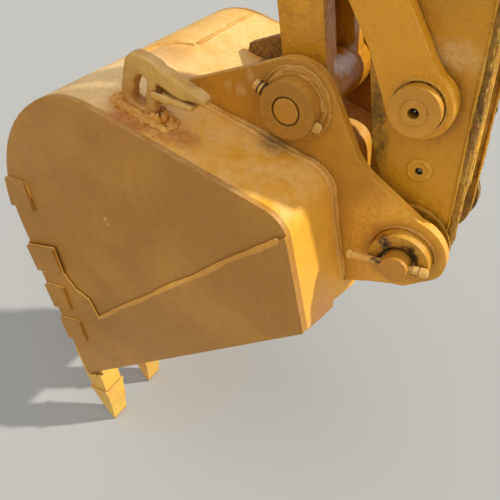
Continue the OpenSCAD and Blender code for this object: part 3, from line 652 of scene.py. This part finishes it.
# Weld metal under paint: the crests of the ripples are rubbed pale, partly a painted highlight,
# the valleys hold dust and painted shade.
finishes["bead_enamel"] = enamel(
    "enamel over weld bead", "#DFA03C", "#CB8C30", dust="#EDBE6C", dust_amount=0.6,
    rub_and_highlight_amount=0.4, chips=0.7, gloss=0.34, bump=0.6, corner_dirt_and_shade=0.35,
    spots=[pin_rim, hook_dirt, toe_rust, root_dark_patch, boss_rim])
# Cast steel that earth keeps clean: pale edges, rubbed and partly a painted highlight, and many
# chips.
finishes["tooth_enamel"] = enamel(
    "enamel on cast steel teeth", "#E3B84B", "#DCA548", dust="#EBC07C",
    dust_amount=0.5, rub_and_highlight="#F0D490", rub_and_highlight_amount=0.8, chips=0.8, gloss=0.4, bump=0.8)
print("finishes of the bucket:", ", ".join(finishes))

# %% [markdown]
# The stick and the links stand clear of the earth, so their yellow is
# fuller and glossier, and the sags of the spray show. Dirt stays where
# the back plate's edges make a gutter.

# %% Enamels of the stick and the links
# Welded box of flat plate, a full satin yellow with bright edges, partly a painted highlight.
finishes["stick_enamel"] = enamel(
    "alkyd enamel on the stick", "#D0901A", "#C08418", dust="#F2BC48", dust_amount=0.3,
    rub_and_highlight="#FFD450", rub_and_highlight_amount=0.9, gloss=0.34, bump=1.1, spots=stick_spots)
# Earth baked on in the gutter: dark and rough, with crumbs of paint showing at the edges as pale
# paint and painted highlight, and much painted shade in its corners.
finishes["crust_enamel"] = enamel(
    "dirt caked on enamel", "#A8761C", "#3A240A", rub_and_highlight="#FFD450", chips=1.0, gloss=0.6, bump=2.0,
    mottle=0.9, corner_dirt_and_shade=0.9)
# The plate between the gutters: bright paint with bands of dirt.
finishes["back_enamel"] = enamel(
    "crusted enamel on the back plate", "#F4B828", "#D89A1E", rub_and_highlight="#FFD450", chips=1.0, gloss=0.5,
    bump=1.6, mottle=0.8, spots=back_spots)
# Thick plate, sprayed again not long ago: glossy, with a pale line at every edge that is partly a
# painted highlight.
finishes["link_enamel"] = enamel(
    "thick glossy alkyd enamel", "#E9A224", "#DA961E", dust="#F2BC48", dust_amount=0.2,
    rub_and_highlight="#FFD75C", rub_and_highlight_amount=0.8, gloss=0.26, bump=1.0, mottle=0.1, spots=link_spots)
# A tube in the shade between the links: no dust, a wet shine, brown stains, and white streaks
# painted on as a reflection of the sky.
finishes["tube_enamel"] = enamel(
    "wet-looking enamel on the H link", "#E09C26", "#C88420", dust_amount=0.0, gloss=0.14,
    bump=1.0, mottle=0.4, chips=0.8, spots=tube_painted_reflection_spots)
# Forged and turned pins, painted over with the rest and greasy.
finishes["pin_enamel"] = enamel(
    "greasy enamel on forged pins", "#D39330", "#BC8028", dust="#F2BC48", dust_amount=0.3,
    rub_and_highlight="#FACB48", chips=0.8, gloss=0.34, bump=0.7)
# Rolled bolts with thin paint that flakes: pale, with black grease between.
finishes["bolt_enamel"] = enamel(
    "pale enamel on bolts", "#F0C05A", "#D8A244", rub_and_highlight="#FFE08C", chips=0.9, gloss=0.4,
    bump=0.9, mottle=0.3, spots=bolt_spots)
print("all enamels:", len(finishes))

# %% [markdown]
# The cylinder's rod slides through seals, so it is hard chrome, ground and
# polished. A perfect mirror would look unused: a thin film of oil, in
# clouds of 55 mm, dulls it here and there.

# %% Hard chrome
chrome, t, shader = new_material("hard chrome")
shader.inputs["Metallic"].default_value = 1.0
oil = add(t, "TexNoise", Vector=add(t, "TexCoord", out=3), Scale=18.0, Detail=4.0)
film = add(t, "MapRange", SMOOTH, Value=oil, From_Min=0.4, From_Max=0.7, To_Max=0.4)
t.links.new(add(t, "Mix", {"data_type": "RGBA"}, out=2, i0=film, i6=linear("#D2D2D0"),
                i7="#A89C88"), shader.inputs["Base Color"])
t.links.new(add(t, "MapRange", Value=oil, To_Min=0.10, To_Max=0.32), shader.inputs["Roughness"])
print("made", chrome.name)

# %% [markdown]
# ## Finishes onto the CAD nodes
# Each node keeps its mesh and only gets a material. A table from the
# start of a node's name to a finish is shorter than a line for each node.
# The first entry that fits counts, and plain side enamel is the rest's.

# %% Assignment
TABLE = (("tooth_enamel", "tooth adapter cutting_edge"), ("ear_enamel", "ear upper_bosses"),
         ("collar_enamel", "lower_collars"), ("bolt_enamel", "lock_bolts"),
         ("pin_enamel", "lower_pin upper_pin guide_pin link_pin_ends h_link_pins rod_eye_pin"),
         ("pin_enamel", "cylinder_base_pin hook_latch"), ("link_enamel", "guide_link rod_eye"),
         ("tube_enamel", "h_link"), ("back_enamel", "stick_back"), ("chrome", "cylinder_rod"),
         ("stick_enamel", "stick nose_tube guide_tube boom_tube tail cylinder grease"))
finishes["chrome"] = chrome
for name, obj in nodes.items():
    fits = [finish for finish, starts in TABLE if name.startswith(tuple(starts.split()))]
    for s in obj.material_slots:
        s.link, s.material = "OBJECT", finishes[(fits + ["side_enamel"])[0]]
print("finished", len(nodes), "CAD nodes")

# %% [markdown]
# ## Rolled plate and forged hook
# The wrapper is one plate, rolled round the bucket. The CAD has it in
# flat steps, so a copy with its triangles merged is shaded smooth across
# the small steps and sharp at the edges. The lifting hook and its latch
# are forgings with thick paint. A Bevel modifier would need clean edges,
# so their copies are remeshed finely, rounded by a smoothing filter and
# made a little uneven along their normals.

# %% Smooth copies
MERGE = 1e-5                        # metres
VOXEL, ROUNDS = 0.003, 22           # remesh size in metres, and rounds of smoothing
COAT, LUMP = 0.0018, 0.0009         # thickness of the paint and its unevenness in metres


def merged_copy(node, name, body, finish, angle=25):
    """A copy of a CAD node with its triangles merged, smooth below an angle between faces."""
    mesh = nodes[node].data.copy()
    mesh.name = name
    b = bmesh.new()
    b.from_mesh(mesh)
    bmesh.ops.remove_doubles(b, verts=b.verts, dist=MERGE)
    b.to_mesh(mesh)
    b.free()
    for name_of in ("custom_normal", "sharp_face", "sharp_edge"):
        if name_of in mesh.attributes:
            mesh.attributes.remove(mesh.attributes[name_of])
    mesh.shade_smooth()
    mesh.set_sharp_from_angle(angle=math.radians(angle))
    mesh.materials.clear()
    mesh.materials.append(finishes[finish])
    obj = bpy.data.objects.new(name, mesh)
    bpy.context.scene.collection.objects.link(obj)
    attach(obj, body)
    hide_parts(node)
    return obj


def forged(node, name, body, finish, reshape=lambda co: co):
    """A remeshed and rounded copy of a node.

    Each vertex moves out by COAT plus LUMP times a sum of slow sine waves over the place."""
    obj = merged_copy(node, name, body, finish, 180)
    remesh = obj.modifiers.new("remesh", "REMESH")
    remesh.mode, remesh.voxel_size, remesh.use_smooth_shade = "VOXEL", VOXEL, True
    rounding = obj.modifiers.new("rounding", "SMOOTH")
    rounding.factor, rounding.iterations = 0.5, ROUNDS
    depsgraph = bpy.context.evaluated_depsgraph_get()
    mesh = bpy.data.meshes.new_from_object(obj.evaluated_get(depsgraph))
    obj.modifiers.clear()
    obj.data, mesh.name = mesh, name
    co, no = np.empty(len(mesh.vertices) * 3), np.empty(len(mesh.vertices) * 3)
    mesh.vertices.foreach_get("co", co)
    mesh.vertices.foreach_get("normal", no)
    co, no = co.reshape(-1, 3), no.reshape(-1, 3)
    wave = np.sin(co @ [95, 60, 40]) * np.sin(co @ [-50, 90, 75] + 1)
    wave += 0.5 * np.sin(co @ [190, -150, 120])
    mesh.vertices.foreach_set("co", reshape(co + no * (COAT + LUMP * wave)[:, None]).ravel())
    print(name, "has", len(mesh.polygons), "faces")


wrapper = merged_copy("wrapper", "rolled_wrapper", "bucket", "wrapper_enamel")
print("smooth wrapper:", len(wrapper.data.polygons), "faces")

# %% [markdown]
# The real hook has thinner legs and a wider window than its CAD solid, and
# its tip is drawn in. The copy is bent to that: where along the hook a
# vertex lies is looked up in a short table.

# %% The hook's shape
hook_foot = PIN[[0, 2]] + hook_at / 1000
top_normal = np.array([-TOP_DIR[1], TOP_DIR[0]])
ALONG = [0, 38, 64, 114, 140, 300]          # millimetres along the bucket's top in the CAD
BENT = [0, 25, 72, 102, 134, 300]           # and here


def hook_shape(co):
    """Along the hook by interpolation from ALONG to BENT, and the bar's tip drawn in and down."""
    flat = co[:, [0, 2]] - hook_foot
    x, z = flat @ TOP_DIR * 1000, flat @ top_normal * 1000
    tip = np.clip((x - 100) / 150, 0, 1) * np.clip((z - 50) / 40, 0, 1)
    x, z = np.interp(x, ALONG, BENT) - 16 * tip, z - 12 * tip
    flat = hook_foot + (x[:, None] * TOP_DIR + z[:, None] * top_normal) / 1000
    return np.stack([flat[:, 0], co[:, 1], flat[:, 1]], 1)


forged("lifting_hook", "forged_hook", "bucket", "hook_enamel", hook_shape)
forged("hook_latch", "forged_latch", "latch", "hook_enamel")

# %% [markdown]
# ## Welds of the bucket
# The ears are welded to the wrapper along their whole root with wide
# beads, run twice on the outside. The bosses sit in fat rings, because
# they carry the bucket's load into the ears. A bead in a corner leans
# halfway between the two plates, which a small function works out.

# %% Directions in a corner
ear_root = resampled(np.concatenate([[toe], throat_arc[::-1], [MOUTH]]), 4.0)
EAR_OUT, EAR_IN = 170, 145


def outward(side):
    """Halfway between the left of a path in the XZ plane and the Y axis."""
    def of_path(path):
        d = np.gradient(path, axis=0)
        d /= np.linalg.norm(d, axis=1, keepdims=True)
        return np.stack([-d[:, 2], np.full(len(d), float(side)), d[:, 0]], 1) / math.sqrt(2)
    return of_path


def around(centre, side):
    """Halfway between a ring's radius and the Y axis, where a boss stands on a plate."""
    def of_path(path):
        r = (path - [centre[0], 0, centre[2]]) * [1, 0, 1]
        return r / np.linalg.norm(r, axis=1, keepdims=True) + [0, float(side), 0]
    return of_path


print("an ear's root is", len(ear_root), "points long")

# %% Bucket welds
bead_metal = finishes["bead_enamel"]
welds = []
for s in (-1, 1):
    # Along the root: place across the bucket, side, width, height and seed.
    for y, side, w, h, seed in ((EAR_OUT + 5, s, 22, 9, 1), (EAR_OUT + 18, s, 17, 6, 2),
                                (EAR_IN - 4, -s, 18, 8, 3)):
        welds.append(bead(side_path(ear_root, s * y), outward(side), w / 1000, h / 1000,
                          seed=seed + s))
    # Round the upper boss: radius, width, height, seed and direction.
    for r, w, h, seed, up in ((70, 15, 9, 4, around(UPPER, s)), (78, 14, 5, 5, (0, s, 0)),
                              (87, 13, 3, 6, (0, s, 0))):
        welds.append(bead(ring_path(UPPER, r, s * (EAR_OUT + 1)), up, w / 1000, h / 1000,
                          closed=True, seed=seed + s, uneven=1.6, lumps=0.15))
    collar = ring_path(PIN, 79, s * (EAR_OUT + 1), 0, 190)
    welds.append(bead(collar, around(PIN, s), 0.010, 0.005, seed=6 + s))
piece("ear_welds", welds, "bucket", bead_metal)

# %% [markdown]
# The side cutters and the corner plates are welded on the outside of the
# side plates. The wear plates lie on them and on the floor. Their beads
# follow the plates' outline, but only where it lies on the side plate, so
# points too near the bucket's outline are left out.

# %% Lines on the side plates
left = np.array([-FLOOR_DIR[1], FLOOR_DIR[0]])
inward = np.array([-MOUTH_DIR[1], MOUTH_DIR[0]])
mouth_length = np.linalg.norm(LIP - MOUTH)
cutter_line = [MOUTH + MOUTH_DIR * d - inward * (254 - 56 * (d + 200) / (mouth_length + 400))
               for d in (-118, 862)]
corner_line = [(-923, -548), (-950, -470), (-1006, -451), (-1055, -379), (-1110, -352)]
floor_part = shell_fine[(shell_fine - CROWN) @ FLOOR_DIR > 0]
reach, depth = (floor_part - HEEL) @ FLOOR_DIR, (floor_part - HEEL) @ left
order = np.argsort(reach)
reach, depth = reach[order], depth[order]
# Wear plates: start along the floor, share of full size, lift off the side plate and tilt.
WEAR = ((139, 0.88, 0, 8), (414, 1, 8, -22), (591, 0.72, 8, -12), (761, 0.8, 8, -20))


def wear_line(start, share, tilt):
    """A wear plate's outline on the side plate, from the floor up and across its top."""
    w = 140 * share
    points = [(0.4 * tilt, 0), (1.4 * tilt - 1, w + 1), (105 + 1.4 * tilt, 0.94 * w + 1), (114, 0)]
    points = points[:2] if start > 500 else points
    line = np.array([HEEL + FLOOR_DIR * (start + x - 0.4 * tilt) + left * z for x, z in points])
    line = resampled(line, 3.0)
    inside = np.linalg.norm(line[:, None] - shell_fine[None], axis=2).min(1) > 8
    inside &= (line - HEEL) @ left > np.interp((line - HEEL) @ FLOOR_DIR, reach, depth)
    return line[inside]


print("wear plates on each side:", len(WEAR))

# %% Beads on the side plates
SHELL_Y = 406
welds = []
for s in (-1, 1):
    out = (0, s, 0)
    for line, w, h, seed in ((cutter_line, 18, 5.5, 7), (corner_line, 12, 3.5, 8)):
        welds.append(bead(side_path(line, s * (SHELL_Y + 4)), out, w / 1000, h / 1000,
                          seed=seed + s, uneven=0.6))
    for start, share, lift, tilt in WEAR:
        path = side_path(wear_line(start, share, tilt), s * (SHELL_Y + lift + 1))
        welds.append(bead(path, out, 0.008, 0.0035, seed=start))
print("beads on the side plates:", len(welds))

# %% [markdown]
# The cutting edge is joined to the floor right across, on both faces. The
# wrapper's two lengths meet in a seam, with a mended crack that runs
# forward from it. Both lie on the curved plate, so each point is moved to
# the nearest one of the outline.

# %% Seams across the bucket
edge_start, EDGE_THICK, HALF_WIDTH = LIP - FLOOR_DIR * 230, 32, 388
for lift, out in ((0, -left), (EDGE_THICK, left)):
    path = np.concatenate([side_path([edge_start + left * lift], y)
                           for y in (-HALF_WIDTH, HALF_WIDTH)])
    welds.append(bead(path, (out[0], 0, out[1]), 0.014, 0.004, seed=9))
top_up = (top_normal[0], 0, top_normal[1])
# Points along the top from the throat and across the bucket, in millimetres.
crack = [(-664, -81), (-650, -8), (-620, 23), (-566, 50)]
seam = [(-563, 60), (-570, 270), (-566, 388)]
for line, w, h in ((crack, 0.015, 0.005), (seam, 0.013, 0.004)):
    line = resampled(np.array(line, float), 5.0)
    flat = THROAT + TOP_DIR * line[:, :1]
    near = np.linalg.norm(flat[:, None] - shell_fine[None], axis=2).argmin(1)
    path = side_path(shell_fine[near], 0)
    path[:, 1] = line[:, 1] / 1000
    welds.append(bead(path, top_up, w, h, seed=13))
print("with the seams across:", len(welds))

# %% [markdown]
# The hook stands in a mound of weld, laid by hand in several rounds. Three
# lumpy rings, each wider and lower than the last, build it up.

# %% Weld mound at the hook
FOOT = [(-12, -322), (-12, -301), (30, -297), (80, -297), (118, -300), (118, -336), (80, -339),
        (30, -339), (-12, -334)]
foot = np.array(FOOT + FOOT[:1], float)
ground = side_path(hook_at + foot[:, :1] * TOP_DIR + top_normal, 0)
ground[:, 1] = foot[:, 1] / 1000
middle = ground.mean(0)
# Size of the ring, width, height and seed.
for grow, w, h, seed in ((0.95, 0.024, 0.020, 10), (1.12, 0.026, 0.012, 11),
                         (1.3, 0.020, 0.006, 12)):
    welds.append(bead(middle + (ground - middle) * grow, top_up, w, h, pitch=0.017,
                      closed=True, seed=seed, uneven=2.0, lumps=0.5))
piece("shell_welds", welds, "bucket", bead_metal)

# %% [markdown]
# ## Welds of the stick
# The side plates stand a little proud of the front and back plates, and
# a fillet runs down the rear corners. The rims of the plates catch fresh
# paint, drawn as thin bright beads, and between them lies a crust of
# dirt, made as lumpy beads. Where the tubes come through the side plates
# they are welded round.

# %% Stick welds
def leant(points):
    """Points of the stick's own drawing turned by the stick's lean."""
    c, s = math.cos(LEAN), math.sin(LEAN)
    p = np.asarray(points, float)
    return np.stack([p[:, 0] * c - p[:, 1] * s, p[:, 0] * s + p[:, 1] * c], 1)


def rear_edge(x, y):
    """A line down the rear of the stick at x in its drawing and y across, in millimetres."""
    return side_path(leant([(x, 15), (x, 2300)]), y)


STICK_Y, STICK_IN = 110, 96
back_seam = leant([(86, 100), (86, 2380)])[::-1]
welds, crust = [], []
for s in (-1, 1):
    welds.append(bead(side_path(back_seam, s * STICK_IN), outward(-s), 0.014, 0.006, pitch=0.012,
                      step=0.004))
    # Nose, guide and boom tubes: centre, radius, place across and width.
    for centre, r, y, w in ((PIN, 75, 123, 13), (GUIDE, 66, STICK_Y, 13),
                            (np.zeros(3), 96, STICK_Y, 16)):
        ring = ring_path(centre, r, s * y)
        welds.append(bead(ring, around(centre, s), w / 1000, 0.006, closed=True, seed=r))
for s in (-1, 1):
    for x, y, out, seed in ((83, STICK_Y, (0, s, 0), 21), (98, 88, (1, 0, 0), 22)):
        welds.append(bead(rear_edge(x, s * y), out, 0.007, 0.004, pitch=0.012, step=0.004,
                          seed=seed, uneven=1.5))
    for x, y, out in ((92, STICK_Y, (0, s, 0)), (98, 103, (1, 0, 0))):
        crust.append(bead(rear_edge(x, s * y), out, 0.013, 0.003, pitch=0.011, step=0.004,
                          seed=x, uneven=1.2, lumps=0.5))
piece("edge_crust", crust, "stick", finishes["crust_enamel"])
welds.append(bead(side_path(back_seam, -6), (1, 0, 0), 0.012, 0.007, pitch=0.02, step=0.006,
                  uneven=1.5))
piece("stick_welds", welds, "stick", finishes["stick_enamel"])

# %% [markdown]
# ## Turned parts
# Every pin is greased through a nipple that sits in a recess, where
# nothing can knock it off. Old grease is pushed out round it and turns
# black. The bolt that locks the upper pin sits between two rubber rings.
# All of these are turned shapes. A Screw modifier could spin a profile,
# but here the half profile is carried round its axis as one array, and
# the same function makes the nipples, the grease and the rings.

# %% Turned surface
def turned(profile, place, axis, n):
    """Profile of (radius, height) rows in millimetres carried round an axis by n steps.

    Point (a, i) is place + r cos a * u + r sin a * v + h * axis."""
    p = np.asarray(profile, float) / 1000
    axis = unit(np.asarray(axis, float))
    u = unit(np.cross(axis, [0.3, 0.5, 0.8]))
    v = np.cross(axis, u)
    a = np.linspace(0, 2 * np.pi, n, endpoint=False)[:, None, None]
    grid = p[None, :, :1] * (np.cos(a) * u + np.sin(a) * v) + p[None, :, 1:] * axis
    i, k = np.meshgrid(np.arange(n), np.arange(len(p) - 1), indexing="ij")
    j, m = (i + 1) % n, len(p)
    quads = np.stack([i * m + k, i * m + k + 1, j * m + k + 1, j * m + k], -1).reshape(-1, 4)
    rim = np.arange(n) * m
    ends = np.stack([rim[::-1], rim + m - 1])
    return grid.reshape(-1, 3) + np.asarray(place, float), [quads, ends]


# Radius and height of the points of each half profile, in millimetres.
NIPPLE = [(6.5, 0), (6.5, 4), (5, 5), (3.2, 5.5), (3.2, 7.5), (4.4, 9), (4.4, 10.5), (3, 12),
          (1.2, 12.6), (0.6, 12.6)]
DOME = [(11.6, 0), (11.2, 0.8), (9.5, 1.8), (7, 2.6), (4, 3.0), (0.5, 3.1)]
RUBBER = [(12, 0.2), (15.2, 0.4), (15.9, 1.6), (15.2, 2.8), (12, 3.0)]
print("a nipple is", NIPPLE[-1][1], "mm high")

# %% Zinc and grease
# Steel plated with zinc: a grey metal, here under a brown film of grease in 5 mm specks.
zinc, t, shader = new_material("zinc-plated steel under old grease")
shader.inputs["Metallic"].default_value = 1.0
film = add(t, "TexNoise", Vector=add(t, "TexCoord", out=3), Scale=180.0, Detail=3.0)
film = add(t, "MapRange", SMOOTH, Value=film, From_Min=0.4, From_Max=0.6)
t.links.new(add(t, "Mix", {"data_type": "RGBA"}, out=2, i0=film, i6=linear("#A7A49C"),
                i7="#2A2118"), shader.inputs["Base Color"])
shader.inputs["Roughness"].default_value = 0.35

# Lithium grease gone black with grit of 4 mm lumps: dark, with a wet shine.
black_grease, t, shader = new_material("old lithium grease")
grit = add(t, "TexNoise", Vector=add(t, "TexCoord", out=3), Scale=260.0, Detail=5.0)
t.links.new(add(t, "Mix", {"data_type": "RGBA"}, out=2, i0=grit, i6=linear("#0B0907"),
                i7="#2A1E12"), shader.inputs["Base Color"])
t.links.new(add(t, "Bump", Strength=0.6, Distance=0.001, Height=grit), shader.inputs["Normal"])
shader.inputs["Roughness"].default_value = 0.3
print("made", zinc.name, "and", black_grease.name)

# %% Nipples, rings and their welds
LINK_Y = 161     # the link caps' faces, in millimetres across
top_pin = PIN + np.array([-418.8, 0, 924.3]) / 1000      # joins the links
boss_rel = leant([(-6, 202)])[0] / 1000
boss_place = PIN + np.array([boss_rel[0], 0, boss_rel[1]])
# Name, body, place, place across and scale.
for name, body, place, y, scale in (("guide", "guide_links", GUIDE, LINK_Y, 1.0),
                                    ("top", "guide_links", top_pin, LINK_Y, 1.0),
                                    ("boss", "stick", boss_place, STICK_Y, 0.77)):
    for what, profile, material, slot in (("nipples", NIPPLE, zinc, "chrome_rod"),
                                          ("grease", DOME, black_grease, "worn_paint")):
        pair = [turned(np.array(profile) * scale, place + np.array([0, s * y / 1000, 0]),
                       (0, s, 0), 28) for s in (-1, 1)]
        piece(name + "_" + what, pair, body, material)

# The rings on the bolt, two at each ear, are greasy too.
BOLT_TURN, BOLT_Y = math.radians(-22.6), 0.19585      # in the XZ plane, and metres across
bolt_line = np.array([math.cos(BOLT_TURN), 0, math.sin(BOLT_TURN)])
rubber = [turned(RUBBER, UPPER + [0, s * BOLT_Y, 0] - bolt_line * d, bolt_line, 32)
          for s in (-1, 1) for d in (0.088, 0.0774)]
piece("bolt_rubbers", rubber, "bucket", black_grease)
boss_rings = [bead(ring_path(boss_place, 25, s * (STICK_Y + 1)), around(boss_place, s),
                   0.012, 0.005, closed=True) for s in (-1, 1)]
piece("boss_welds", boss_rings, "stick", finishes["stick_enamel"])

# %% [markdown]
# ## Floor and finish
# A plain pale floor lies just under the object. One large square is
# enough, because its edges lie outside the picture.

# %% Floor
HALF_FLOOR, FLOOR_GAP = 12, 0.002
floor_mesh = bpy.data.meshes.new("floor")
z = cad_box[0][2] - FLOOR_GAP
square = [(x * HALF_FLOOR, y * HALF_FLOOR, z) for x, y in ((-1, -1), (1, -1), (1, 1), (-1, 1))]
floor_mesh.from_pydata(square, [], [(0, 1, 2, 3)])
floor = bpy.data.objects.new("floor", floor_mesh)
# Matt backdrop paint, rolled on: an even pale grey without a highlight.
floor_paint, t, shader = new_material("matt backdrop paint")
shader.inputs["Base Color"].default_value = linear("#ABABA8")
shader.inputs["Roughness"].default_value = 0.9
floor_mesh.materials.append(floor_paint)
bpy.context.scene.collection.objects.link(floor)
